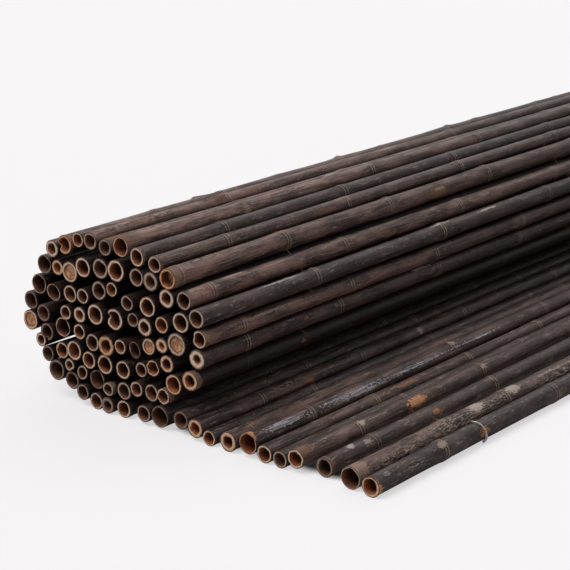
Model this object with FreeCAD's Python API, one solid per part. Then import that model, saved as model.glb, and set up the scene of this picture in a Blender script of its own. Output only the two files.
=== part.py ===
# Bamboo screening, partly unrolled.
# Hollow canes lie side by side on galvanised wires that run through holes
# drilled across them. One end of the strip lies flat on the floor as a tail;
# the rest is wound into a loose, sagging roll that sits on its own bottom turn.
#
# Millimetres. The canes run along Y with the cut ends at -Y, the tail reaches
# out to +X, Z is up and the floor is Z = 0.

import math
import os

import FreeCAD
import Part

V = FreeCAD.Vector

# Canes
CANE_LENGTH = 1830.0
CANE_SIDES = 10
BORE_SIDES = 5

# Wires
WIRE_ROWS = 3
# From the cut ends to the first and the last wire.
WIRE_INSET = 225.0
WIRE_SIZE = 1.8
HOLE_CLEARANCE = 0.3
# The end of each wire is bent up over the free edge cane, clear of its skin,
# and down behind it to a stub's height over the wire.
LOOP_CLEARANCE = 0.6
LOOP_STUB_HEIGHT = 6.5
LOOP_BENDS = 5

# The tail, from the free edge towards the roll: the canes' outer diameters, the
# open spaces on the wire between them, how high the wires and the neighbours hold
# each off the floor, and how far their cut ends stand back.
TAIL_DIAMETERS = (27.0, 30.0, 26.5, 25.5, 23.0, 24.5, 29.0, 27.0, 21.5, 26.0, 25.5)
TAIL_GAPS = (2.5, 19.0, 9.0, 0.3, 2.0, 0.4, 5.0, 7.0, 1.0, 1.5)
TAIL_LIFTS = (0.0, 0.0, 0.0, 5.5, 0.0, 0.0, 5.5, 0.0, 0.0, 5.0, 8.0)
TAIL_STAGGERS = (0.0, 2.0, 12.0, 0.0, 0.0, 0.0, 0.0, 0.0, 0.0, 0.0, 4.0)
TAIL_WALLS = "ctcccctkckc"
# On the floor, from the tail's last cane to the start of the roll's middle line.
ROLL_SPACE = 5.0

# The roll, turn by turn on inwards. Its middle line is given as X and Z from the
# point on the floor where the tail ends. The turns sag under their weight, so it
# is no true spiral. Each turn has its canes' outer diameters, the space along the
# line before each cane, and how far the cane stands off the line to its left.
# The space is below nought where two canes lie partly over each other.
OUTER_LINE = (
    (0, 13), (-45, 14), (-104, 12), (-144, 16), (-174, 28), (-206, 42), (-226, 66),
    (-246, 98), (-252, 126), (-236, 155), (-219, 186), (-200, 210), (-166, 226),
    (-124, 229), (-78, 231), (-26, 221), (16, 194), (44, 166), (53, 136), (47, 106),
)
OUTER_DIAMETERS = (
    30, 24, 25, 23, 24, 23, 26, 25, 20, 19, 26, 24, 28, 27, 24, 27, 21, 24, 23, 27,
    26, 23, 28, 25, 26, 24, 27,
)
OUTER_SPACES = (
    2, 0, 14, 5, -1, -2, -4, 8, 2, 3, 6, 3, 7, 2, 4, 5, -6, 7, -2, 7,
    -1, 9, -1, 9, 3, 2, 0,
)
OUTER_ASIDE = (
    -4, -2, 1, 3, 5, 0, -1, 1, -3, 0, 2, -2, -5, -1, 2, -4, 0, 2, -4, 1,
    -5, 2, 1, -3, 4, -1, 0,
)
OUTER_WALLS = "tcckccccckpcttkcccctccccccx"
SECOND_LINE = (
    (26, 78), (-8, 54), (-54, 45), (-110, 36), (-152, 46), (-188, 62), (-218, 90),
    (-226, 118), (-208, 150), (-192, 178), (-150, 192), (-88, 199), (-28, 196),
    (2, 172), (21, 145), (14, 118),
)
SECOND_DIAMETERS = (
    27, 28, 22, 24, 22, 25, 20, 27, 22, 19, 24, 25, 25, 27, 22, 28, 28, 28, 30, 25,
    26, 26, 28, 30,
)
SECOND_SPACES = (
    11, -5, -2, 1, -3, 5, 7, 0, -5, 6, 1, 9, 1, 14, 7, -5, 1, 1, 2, 7,
    0, 4, 9, 1,
)
SECOND_ASIDE = (
    5, -2, 4, 2, -2, 2, 3, -5, -1, 4, -3, 1, 1, -4, 8, -6, 1, 0, 0, -5,
    1, 1, 3, 0,
)
SECOND_WALLS = "kcccccctckccctkpcccckkcp"
THIRD_LINE = (
    (-8, 92), (-49, 74), (-116, 67), (-166, 75), (-190, 101), (-180, 135), (-150, 156),
    (-98, 170), (-40, 160), (-8, 140),
)
THIRD_DIAMETERS = (24, 23, 21, 26, 28, 25, 28, 28, 21, 25, 22, 26, 20, 22, 28, 23)
THIRD_SPACES = (10, -1, 2, 8, 9, 1, -1, 9, 1, 0, -1, 6, 3, 9, 7, 7)
THIRD_ASIDE = (3, 0, 0, 2, 0, -1, 2, 0, -4, 8, -2, 0, 3, -7, 2, 1)
THIRD_WALLS = "kcccccctcccccccc"
CORE_LINE = (
    (-14, 114), (-61, 99), (-109, 91), (-152, 99), (-158, 124), (-127, 133), (-95, 133),
    (-39, 135),
)
CORE_DIAMETERS = (21, 23, 23, 21, 29, 25, 22, 23, 29, 30, 20, 25)
CORE_SPACES = (7, 0, 7, 5, -4, 0, 1, 1, 6, 3, 11, -3)
CORE_ASIDE = (2, -6, 1, -2, 0, 0, 1, 1, 0, -1, 7, -1)
CORE_WALLS = "xptckcckccck"
TURNS = {
    "outer_turn_canes": (
        OUTER_LINE, OUTER_DIAMETERS, OUTER_SPACES, OUTER_ASIDE, OUTER_WALLS,
    ),
    "second_turn_canes": (
        SECOND_LINE, SECOND_DIAMETERS, SECOND_SPACES, SECOND_ASIDE, SECOND_WALLS,
    ),
    "third_turn_canes": (
        THIRD_LINE, THIRD_DIAMETERS, THIRD_SPACES, THIRD_ASIDE, THIRD_WALLS,
    ),
    "core_canes": (CORE_LINE, CORE_DIAMETERS, CORE_SPACES, CORE_ASIDE, CORE_WALLS),
}
# Least room between canes, on the wire and from one turn to the next.
CANE_GAP = 0.3
SETTLE_ROUNDS = 400

# The cut ends. The letters of the walls give the share of a cane's radius that
# is hollow: thin, common, thick and very thick walls. P is a cane that was cut
# at a knot, which closes that end.
HOLLOW = {"t": 0.76, "c": 0.64, "k": 0.5, "x": 0.34, "p": 0.6}
CLOSED = "p"
# The canes, counted from the free edge, that a knot closes at the far end.
CLOSED_BACKS = (12, 27, 42, 57, 72, 87)
# Depth of the open bore, from a cut end to the first knot inside.
BORE_DEPTHS = (95.0, 150.0, 70.0, 125.0, 55.0, 170.0)
# How far the roll's cut ends stand back from a straight line, and every cane's
# far end.
END_STAGGERS = (0.0, 3.0, 1.5, 4.0, 2.0, 0.5, 3.5)


class Cane:
    """One cane: its place across the strip, its size, its wall and its node."""

    def __init__(self, x, z, diameter, wall, node):
        self.x = x
        self.z = z
        self.radius = diameter / 2
        self.wall = wall
        self.node = node

    def reach(self, other, gap):
        """How far apart two canes' centres are with a gap between their skins."""
        return self.radius + other.radius + gap

    def distance(self, other):
        return math.hypot(other.x - self.x, other.z - self.z)

    def centre(self):
        return V(self.x, 0, self.z)


def cycle(values, i):
    """The values in order, over and over."""
    return values[i % len(values)]


def tail_canes():
    """The canes that lie flat or nearly so, from the free edge inwards."""
    canes = []
    for i, diameter in enumerate(TAIL_DIAMETERS):
        height = diameter / 2 + cycle(TAIL_LIFTS, i)
        new = Cane(0.0, height, diameter, cycle(TAIL_WALLS, i), "tail_canes")
        if canes:
            last = canes[-1]
            reach = last.reach(new, cycle(TAIL_GAPS, i - 1))
            new.x = last.x - math.sqrt(reach ** 2 - (new.z - last.z) ** 2)
        canes.append(new)
    return canes


def middle_line(start):
    """The roll's middle line as one curve from a start on the floor."""
    curve = Part.BSplineCurve()
    curve.interpolate([V(start + x, 0, z) for turn in TURNS.values() for x, z in turn[0]])
    return curve


def beside(curve, length, off):
    """The point at a length along a curve, and a little off to its side."""
    u = curve.parameterAtDistance(length)
    along = curve.tangent(u)[0]
    return curve.value(u) + V(-along.z, 0, along.x) * off


def roll_canes(tail):
    """The canes of the roll, one after another along the middle line."""
    curve = middle_line(tail[-1].x - tail[-1].radius - ROLL_SPACE)
    canes = []
    length = 0.0
    for node, (_, diameters, spaces, asides, walls) in TURNS.items():
        for i, diameter in enumerate(diameters):
            length += cycle(spaces, i) + diameter / 2
            place = beside(curve, length, cycle(asides, i))
            canes.append(Cane(place.x, place.z, diameter, cycle(walls, i), node))
            length += diameter / 2
    return canes


def settle(tail, roll):
    """Moves the roll's canes apart where they overlap, and up where one would
    be in the floor. The tail stays where it lies."""
    fixed = len(tail)
    canes = tail + roll
    for _ in range(SETTLE_ROUNDS):
        for j in range(fixed, len(canes)):
            b = canes[j]
            for i in range(fixed - 1, j):
                a = canes[i]
                wanted = a.reach(b, CANE_GAP)
                if abs(a.x - b.x) < wanted and a.distance(b) < wanted:
                    shift_apart(a, b, wanted, 0.5 if i >= fixed else 0.0)
            b.z = max(b.z, b.radius)


def shift_apart(a, b, wanted, share):
    """Moves two canes along the line between them until they are so far apart.
    The share is the part of the move that the first one takes."""
    apart = a.distance(b)
    dx = (b.x - a.x) * (wanted - apart) / apart
    dz = (b.z - a.z) * (wanted - apart) / apart
    a.x -= dx * share
    a.z -= dz * share
    b.x += dx * (1 - share)
    b.z += dz * (1 - share)


def polygon_face(cane, y, radius, sides, first_angle):
    """A regular polygon across a cane, at a place along it."""
    corners = []
    for k in range(sides + 1):
        angle = first_angle + 2 * math.pi * (k % sides) / sides
        corners.append(V(cane.x + radius * math.cos(angle), y, cane.z + radius * math.sin(angle)))
    return Part.Face(Part.makePolygon(corners))


def cane_body(cane, index, first_angle):
    """A cane: many-sided outside, and open at its ends up to the first knot."""
    staggers = TAIL_STAGGERS if cane.node == "tail_canes" else END_STAGGERS
    front = cycle(staggers, index)
    back = CANE_LENGTH - cycle(END_STAGGERS, index + 3)
    bore_radius = cane.radius * HOLLOW[cane.wall]
    front_depth = cycle(BORE_DEPTHS, index)
    back_depth = cycle(BORE_DEPTHS, index + 2)

    body = polygon_face(cane, front, cane.radius, CANE_SIDES, first_angle).extrude(V(0, back - front, 0))
    if cane.wall != CLOSED:
        front_bore = polygon_face(cane, front, bore_radius, BORE_SIDES, first_angle)
        body = body.cut(front_bore.extrude(V(0, front_depth, 0)))
    if index + 1 not in CLOSED_BACKS:
        back_bore = polygon_face(cane, back, bore_radius, BORE_SIDES, first_angle)
        body = body.cut(back_bore.extrude(V(0, -back_depth, 0)))
    return body


def mitred(before, here, after, off):
    """The corner of a band's side at a bend of its middle line."""
    first = (here - before).normalize()
    second = (after - here).normalize()
    middle = (first + second).normalize()
    reach = off / middle.dot(first)
    return here + V(-middle.z, 0, middle.x) * reach


def band(points, size, y):
    """A square bar along points that lie across the canes, its middle at y."""
    chain = [points[0] * 2 - points[1]] + points + [points[-1] * 2 - points[-2]]
    left = []
    right = []
    for before, here, after in zip(chain, chain[1:], chain[2:]):
        left.append(mitred(before, here, after, size / 2))
        right.append(mitred(before, here, after, -size / 2))
    outline = left + right[::-1]
    face = Part.Face(Part.makePolygon(outline + outline[:1]))
    face.translate(V(0, y - size / 2, 0))
    return face.extrude(V(0, size, 0))


def wire_places():
    """How far along the canes the wires are, evenly from the first to the last."""
    step = (CANE_LENGTH - 2 * WIRE_INSET) / (WIRE_ROWS - 1)
    return [WIRE_INSET + step * row for row in range(WIRE_ROWS)]


def end_loop(edge):
    """The bent end of a wire round the free edge cane, from its stub to the hole."""
    reach = edge.radius + LOOP_CLEARANCE + WIRE_SIZE / 2
    last_angle = math.pi - math.asin(LOOP_STUB_HEIGHT / reach)
    points = []
    for bend in range(LOOP_BENDS + 1):
        angle = last_angle * (1 - bend / LOOP_BENDS)
        points.append(edge.centre() + V(math.cos(angle), 0, math.sin(angle)) * reach)
    return points


def wire_way(canes):
    """Where a wire bends: half way between each two canes. It starts at the edge
    cane's loop and ends in the middle of the last cane."""
    way = [end_loop(canes[0])[-1]]
    for a, b in zip(canes, canes[1:]):
        along = (b.centre() - a.centre()).normalize()
        gap = a.distance(b) - a.reach(b, 0.0)
        way.append(a.centre() + along * (a.radius + gap / 2))
    return way + [canes[-1].centre()]


def drilled(body, enter, leave, blind):
    """A cane with a straight hole across it for each wire."""
    size = WIRE_SIZE + 2 * HOLE_CLEARANCE
    along = (leave - enter).normalize()
    start = enter - along * size
    finish = leave if blind else leave + along * size
    for y in wire_places():
        body = body.cut(band([start, finish], size, y))
    return body


def build():
    """The canes in order, and the solids of every node."""
    tail = tail_canes()
    roll = roll_canes(tail)
    settle(tail, roll)
    canes = tail + roll
    way = wire_way(canes)

    nodes = {cane.node: [] for cane in canes}
    for i, cane in enumerate(canes):
        enter, leave = way[i:i + 2]
        facing = math.atan2(leave.z - enter.z, leave.x - enter.x)
        # A flat side, and not a corner, meets the hole.
        body = cane_body(cane, i, facing + math.pi / CANE_SIDES)
        nodes[cane.node].append(drilled(body, enter, leave, cane is canes[-1]))
    for row, y in enumerate(wire_places()):
        nodes["wire_" + str(row + 1)] = [band(end_loop(canes[0]) + way[1:], WIRE_SIZE, y)]
    return canes, nodes


def placed(nodes):
    """Every node, moved so that the middle of the whole stands over the origin."""
    whole = FreeCAD.BoundBox()
    for solids in nodes.values():
        for solid in solids:
            whole.add(solid.BoundBox)
    shapes = {}
    for name, solids in nodes.items():
        shapes[name] = Part.makeCompound(solids)
        shapes[name].translate(V(-whole.Center.x, -whole.Center.y, -whole.ZMin))
    return shapes, whole


def main():
    canes, nodes = build()
    shapes, whole = placed(nodes)
    os.makedirs("parts", exist_ok=True)
    for name, shape in shapes.items():
        shape.exportStep(os.path.join("parts", name + ".step"))
        print(name, len(shape.Solids), "solids", round(shape.Volume / 1e6, 3), "litres")
    print("canes", len(canes))
    print("size", round(whole.XLength, 1), round(whole.YLength, 1), round(whole.ZLength, 1))
    room = min(a.distance(b) - a.reach(b, 0.0) for i, a in enumerate(canes) for b in canes[i + 1:])
    print("least room between canes", round(room, 3))


main()
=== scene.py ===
# %% [markdown]
# # Bamboo screening, partly unrolled
# Dark hollow canes are threaded on wires to make a strip. Most of it is wound into a
# sagging roll, and its free end lies flat as a tail. The CAD model gives each cane
# and wire its place. This lesson dresses them: round, jointed canes with cut ends
# and stained skins, and round galvanised wires.

import math
import random
from types import SimpleNamespace

import bmesh
import bpy
from mathutils import Matrix, Vector, noise


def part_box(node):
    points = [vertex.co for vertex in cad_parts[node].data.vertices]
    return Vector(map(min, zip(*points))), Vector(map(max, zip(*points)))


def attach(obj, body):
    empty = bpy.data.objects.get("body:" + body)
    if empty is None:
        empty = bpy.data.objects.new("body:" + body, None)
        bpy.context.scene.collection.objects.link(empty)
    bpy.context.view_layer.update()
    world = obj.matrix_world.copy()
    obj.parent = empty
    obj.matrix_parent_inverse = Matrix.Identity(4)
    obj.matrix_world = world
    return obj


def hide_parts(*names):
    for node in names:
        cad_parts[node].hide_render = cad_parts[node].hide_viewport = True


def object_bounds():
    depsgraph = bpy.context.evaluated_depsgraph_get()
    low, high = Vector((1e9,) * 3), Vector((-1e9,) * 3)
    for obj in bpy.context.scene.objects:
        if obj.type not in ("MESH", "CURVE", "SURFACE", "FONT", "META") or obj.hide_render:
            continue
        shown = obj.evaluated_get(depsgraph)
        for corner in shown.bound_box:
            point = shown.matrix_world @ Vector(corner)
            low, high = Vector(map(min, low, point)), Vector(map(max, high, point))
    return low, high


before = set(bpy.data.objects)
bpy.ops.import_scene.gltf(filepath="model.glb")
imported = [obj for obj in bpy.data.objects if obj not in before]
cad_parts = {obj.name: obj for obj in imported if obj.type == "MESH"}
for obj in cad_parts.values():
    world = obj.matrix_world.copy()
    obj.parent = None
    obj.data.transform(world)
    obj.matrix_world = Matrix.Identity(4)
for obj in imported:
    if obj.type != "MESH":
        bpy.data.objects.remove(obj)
cad_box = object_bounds()
print("nodes", sorted(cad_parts))
print("the CAD model's box", [round(v, 4) for corner in cad_box for v in corner])

MM = 0.001

# %% [markdown]
# ## The camera
# The picture was taken from in front of the tail and a little above it, with a
# long lens, so the canes narrow little. It could be aimed with a constraint. Here
# its place and view are written down, because the roll's lines were fitted to them,
# and its right and up follow from a level horizon.

# %% Camera
CAMERA_PLACE = Vector((1.4131, -2.464, 0.8425))
CAMERA_VIEW = Vector((-0.6033, 0.7424, -0.2913))
PICTURE_SIZE = 570
FOCAL_PIXELS = 1780.0
SENSOR_WIDTH = 36.0
SEES_AS_FAR_AS = 60.0


def level_camera(place, looks_along):
    """A camera at a place that looks along a direction, its horizon level."""
    back = -looks_along.normalized()
    right = Vector((0, 0, 1)).cross(back).normalized()
    up = back.cross(right)
    data = bpy.data.cameras.new("camera")
    data.sensor_width = SENSOR_WIDTH
    data.lens = SENSOR_WIDTH * FOCAL_PIXELS / PICTURE_SIZE
    data.clip_end = SEES_AS_FAR_AS
    camera = bpy.data.objects.new("camera", data)
    turn = Matrix((right, up, back)).transposed().to_4x4()
    camera.matrix_world = Matrix.Translation(place) @ turn
    bpy.context.scene.collection.objects.link(camera)
    return camera


bpy.context.scene.camera = level_camera(CAMERA_PLACE, CAMERA_VIEW)
print("lens", round(bpy.context.scene.camera.data.lens, 1), "mm")

# %% [markdown]
# ## How a finish is written
# A material is a small tree of nodes that could be wired by hand in the editor. A
# few helpers keep the recipes readable here: one adds a node and feeds it, one turns
# a noise into a mask, and one lays a coat of paint where a mask is.

# %% Helpers for finishes
class Finish:
    """A material whose nodes are added one after another."""

    def __init__(self, name):
        self.material = bpy.data.materials.new(name)
        self.material.use_nodes = True
        self.tree = self.material.node_tree
        self.shader = self.tree.nodes["Principled BSDF"]
        place = self.tree.nodes.new("ShaderNodeTexCoord")
        self.place = place.outputs["Object"]

    def feed(self, socket, value):
        """Links a socket to another, or sets it to a value."""
        if isinstance(value, bpy.types.NodeSocket):
            self.tree.links.new(value, socket)
        else:
            socket.default_value = value

    def node(self, kind, feeds, output=0, **settings):
        """Adds a node, feeds its sockets and gives one of its outputs."""
        made = self.tree.nodes.new(kind)
        for name, value in settings.items():
            setattr(made, name, value)
        for socket, value in feeds.items():
            self.feed(made.inputs[socket], value)
        return made.outputs[output]

    def sums(self, operation, *values):
        return self.node("ShaderNodeMath", dict(enumerate(values)), operation=operation)

    def times(self, value, amount):
        return self.sums("MULTIPLY", value, amount)

    def vectors(self, operation, *values):
        return self.node("ShaderNodeVectorMath", dict(enumerate(values)), operation=operation)

    def stored(self, name, output="Fac"):
        return self.node("ShaderNodeAttribute", {}, output, attribute_name=name)

    def on_cane(self):
        """A point's place, counted from a middle that no two canes share."""
        return self.vectors("SUBTRACT", self.place, self.stored("cane_middle", "Vector"))

    def cloud(self, place, stretch, detail=3.0, roughness=0.55):
        """Noise over a place, its spots as wide as one over the stretch, in metres."""
        return self.node("ShaderNodeTexNoise", {
            "Vector": self.vectors("MULTIPLY", place, stretch),
            "Scale": 1.0, "Detail": detail, "Roughness": roughness,
        })

    def mask(self, value, low, high):
        """Nought at low, one at high, and smooth between. High may be the smaller."""
        return self.node("ShaderNodeMapRange", {"Value": value, "From Min": low, "From Max": high},
                         interpolation_type="SMOOTHSTEP")

    def mix(self, amount, first, second):
        return self.node("ShaderNodeMix", {0: amount, 6: first, 7: second}, 2, data_type="RGBA")

    def coat(self, colour, mask, strength, paint):
        """Lays a paint over a colour, as thick as the mask and the strength say."""
        return self.mix(self.times(mask, strength), colour, paint)

    def ramp(self, value, *stops):
        """A colour for each value, from stops of a place and a colour."""
        made = self.node("ShaderNodeValToRGB", {"Fac": value}, "Color")
        elements = made.node.color_ramp.elements
        elements[0].position, elements[0].color = stops[0]
        elements[1].position, elements[1].color = stops[-1]
        for position, colour in stops[1:-1]:
            elements.new(position).color = colour
        return made

    def finish(self, colour, roughness, bump, bump_depth, metallic=0.0):
        """Feeds the shader and gives the finished material."""
        self.feed(self.shader.inputs["Base Color"], colour)
        self.feed(self.shader.inputs["Roughness"], roughness)
        self.shader.inputs["Metallic"].default_value = metallic
        raised = self.node("ShaderNodeBump", {"Height": bump, "Strength": 1.0, "Distance": bump_depth})
        self.feed(self.shader.inputs["Normal"], raised)
        return self.material


def shade(red, green, blue):
    """A colour as a picture shows it, from 0 to 255, in the shader's linear light."""
    parts = [part / 255 for part in (red, green, blue)]
    linear = [part / 12.92 if part < 0.04 else ((part + 0.055) / 1.055) ** 2.4 for part in parts]
    return (*linear, 1)


print("middle grey", [round(part, 3) for part in shade(128, 128, 128)])

# %% [markdown]
# ## Light and floor
# The roll lies on a pale sweep under a pale sky and two wide soft boxes. One lights
# the cut ends. A larger one behind gives the canes their long dull highlights and
# lays a soft shadow before the ends. Both are suns, which light the floor evenly, as
# area lamps can't. More light would whiten the background but wash out the shadows.
# Instead the sky, and a glow of the floor, are white to the camera alone. The glow
# fades away below the tail, where it would draw white lines in the dark gaps.

# %% The sky and the soft boxes
SKY_STRENGTH = 0.36
SEEN_SKY_STRENGTH = 0.93
# Name: strength, size in degrees and where the light comes from.
SOFT_BOXES = {
    "front_box": (1.8, 40, Vector((-0.25, -0.6, 1.0))),
    "back_box": (0.5, 60, Vector((-0.25, 0.75, 0.62))),
}

scene = bpy.context.scene
scene.view_settings.view_transform = "Standard"

world = bpy.data.worlds.new("studio")
world.use_nodes = True
sky_tree = world.node_tree
background = sky_tree.nodes["Background"]
background.inputs["Color"].default_value = (1, 1, 1, 1)
seen = sky_tree.nodes.new("ShaderNodeMapRange")
seen.inputs["To Min"].default_value = SKY_STRENGTH
seen.inputs["To Max"].default_value = SEEN_SKY_STRENGTH
sky_ray = sky_tree.nodes.new("ShaderNodeLightPath")
sky_tree.links.new(sky_ray.outputs["Is Camera Ray"], seen.inputs["Value"])
sky_tree.links.new(seen.outputs["Result"], background.inputs["Strength"])
scene.world = world

for name, (strength, size, comes_from) in SOFT_BOXES.items():
    box_data = bpy.data.lights.new(name, "SUN")
    box_data.energy = strength
    box_data.angle = math.radians(size)
    box = bpy.data.objects.new(name, box_data)
    box.rotation_mode = "QUATERNION"
    box.rotation_quaternion = comes_from.to_track_quat("Z", "Y")
    scene.collection.objects.link(box)
print("sky", SKY_STRENGTH, "soft boxes", len(SOFT_BOXES))

# %% The floor
FLOOR_HALF = 30.0
FLOOR_COLOUR = (0.375, 0.367, 0.371, 1)
FLOOR_GLOW = (1.0, 0.98, 0.99, 1)
GLOW_STRENGTH = 0.58
# The floor below the tail: its middle, half its size, and the glow's fading edge.
BELOW_TAIL = Vector((0.12, 0.0, 0.0))
HALF_TAIL = Vector((0.165, 0.905, 1.0))
GLOW_EDGE = 20 * MM


def new_piece(name, shape):
    """Writes a bmesh into a new object at the origin."""
    mesh = bpy.data.meshes.new(name)
    shape.to_mesh(mesh)
    shape.free()
    piece = bpy.data.objects.new(name, mesh)
    scene.collection.objects.link(piece)
    return piece


def open_floor(paper):
    """One on the open floor, and nought below the tail."""
    off = paper.vectors("ABSOLUTE", paper.vectors("SUBTRACT", paper.place, BELOW_TAIL))
    off = paper.vectors("SUBTRACT", off, HALF_TAIL)
    across = paper.node("ShaderNodeSeparateXYZ", {0: off}, "X")
    furthest = paper.sums("MAXIMUM", across, across.node.outputs["Y"])
    return paper.mask(furthest, -GLOW_EDGE, 0.0)


def studio_paper():
    """A pale floor whose own glow only the camera sees."""
    paper = Finish("studio_paper")
    seen = paper.node("ShaderNodeLightPath", {}, "Is Camera Ray")
    glow = paper.times(paper.times(seen, GLOW_STRENGTH), open_floor(paper))
    for socket, value in (
        ("Base Color", FLOOR_COLOUR), ("Roughness", 0.9), ("Specular IOR Level", 0.1),
        ("Emission Color", FLOOR_GLOW), ("Emission Strength", glow),
    ):
        paper.feed(paper.shader.inputs[socket], value)
    return paper.material


floor_shape = bmesh.new()
bmesh.ops.create_grid(floor_shape, x_segments=1, y_segments=1, size=FLOOR_HALF)
floor = new_piece("floor", floor_shape)
floor.data.materials.append(studio_paper())
print("floor", 2 * FLOOR_HALF, "m wide")

# %% [markdown]
# ## Where the canes are
# Every cane is one solid of the CAD model, a ten-sided prism bored at its open ends.
# Its place could be typed in again, but it would drift apart from the model. Instead
# a copy of each node's mesh is walked solid by solid, and the points of both ends
# give the cane's middle, its radius and its bore.

# %% Measuring the canes
CANE_NODES = (
    "tail_canes", "outer_turn_canes", "second_turn_canes", "third_turn_canes", "core_canes",
)
SAME_PLACE = 0.02 * MM
END_DEPTH = 0.1 * MM
# A cane whose end has no point nearer to its middle than this share is closed.
CLOSED_SHARE = 0.9


class Cane:
    """A cane as the CAD model has it, in metres."""

    def __init__(self, points):
        self.front = min(p.y for p in points)
        self.back = max(p.y for p in points)
        end = [p for p in points if p.y < self.front + END_DEPTH]
        self.x = sum(p.x for p in end) / len(end)
        self.z = sum(p.z for p in end) / len(end)
        self.middle = Vector((self.x, 0, self.z))
        far_end = [p for p in points if p.y > self.back - END_DEPTH]
        reach, far_reach = (
            [math.hypot(p.x - self.x, p.z - self.z) for p in ring] for ring in (end, far_end))
        self.radius = max(reach)
        self.bore = min(reach + far_reach)
        self.closed = min(reach) > CLOSED_SHARE * self.radius
        self.closed_behind = min(far_reach) > CLOSED_SHARE * self.radius


def solids_of(node):
    """The points of each separate solid of a CAD node, in the node's order."""
    copy = bmesh.new()
    copy.from_mesh(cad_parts[node].data)
    bmesh.ops.remove_doubles(copy, verts=copy.verts, dist=SAME_PLACE)
    solids = []
    seen = set()
    for first in copy.verts:
        if first in seen:
            continue
        seen.add(first)
        group = [first]
        for vert in group:
            for edge in vert.link_edges:
                other = edge.other_vert(vert)
                if other not in seen:
                    seen.add(other)
                    group.append(other)
        solids.append([v.co.copy() for v in group])
    copy.free()
    return solids


canes = {node: [Cane(points) for points in solids_of(node)] for node in CANE_NODES}
for node in CANE_NODES:
    first = canes[node][0]
    print(node, len(canes[node]), "canes, the first with a radius of", round(first.radius / MM, 2),
          "and a bore of", round(first.bore / MM, 2), "mm")

# %% [markdown]
# ## Knots along the canes
# Bamboo grows in lengths parted by knots. At each a thin pale scar runs round the
# cane, where a leaf sheath sat, with a low rounded ridge just past it and a wall
# inside. One even span would look like a pattern. So on the canes that show best the
# knots stand where the picture has them, in millimetres from the cut ends, and the
# rest follow at spans that differ a little.

# %% Where the knots are
strip = [cane for node in CANE_NODES for cane in canes[node]]
# In millimetres: from knot to knot, from the cut end to the first knot of a cane
# that isn't listed, and from the far end to the last.
KNOT_SPANS = (225, 300)
FIRST_KNOTS = (50, 260)
LAST_KNOT = 45
KNOT_SEED = 100
# Canes by their number from the free edge.
SEEN_KNOTS = {
    0: (138, 398), 1: (190, 325), 2: (94, 362), 3: (118, 397, 620), 5: (222, 440, 627),
    6: (115, 435, 680), 7: (40, 255, 530), 8: (205, 480, 749), 9: (123, 340, 594), 11: (210, 470),
    27: (280, 550, 858, 1130), 28: (262, 540, 816, 1084), 29: (258, 500, 790),
    30: (232, 522, 807, 1090), 31: (160, 420, 700), 32: (130, 387, 672, 950), 33: (13, 224, 458, 714),
    34: (45, 319, 600, 871), 35: (230, 525, 819), 36: (74, 300, 502, 735), 37: (84, 280, 513, 732),
    38: (99, 219, 480, 707), 39: (300, 649),
}


def knots_of(cane, number):
    """How far each knot is from the cane's front end, in metres."""
    dice = random.Random(KNOT_SEED + number)
    places = list(SEEN_KNOTS.get(number, (dice.uniform(*FIRST_KNOTS),)))
    while True:
        places.append(places[-1] + dice.uniform(*KNOT_SPANS))
        if places[-1] > (cane.back - cane.front) / MM - LAST_KNOT:
            return [place * MM for place in places[:-1]]


for number, cane in enumerate(strip):
    cane.knots = knots_of(cane, number)
print("knots in all", sum(len(cane.knots) for cane in strip))
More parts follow.
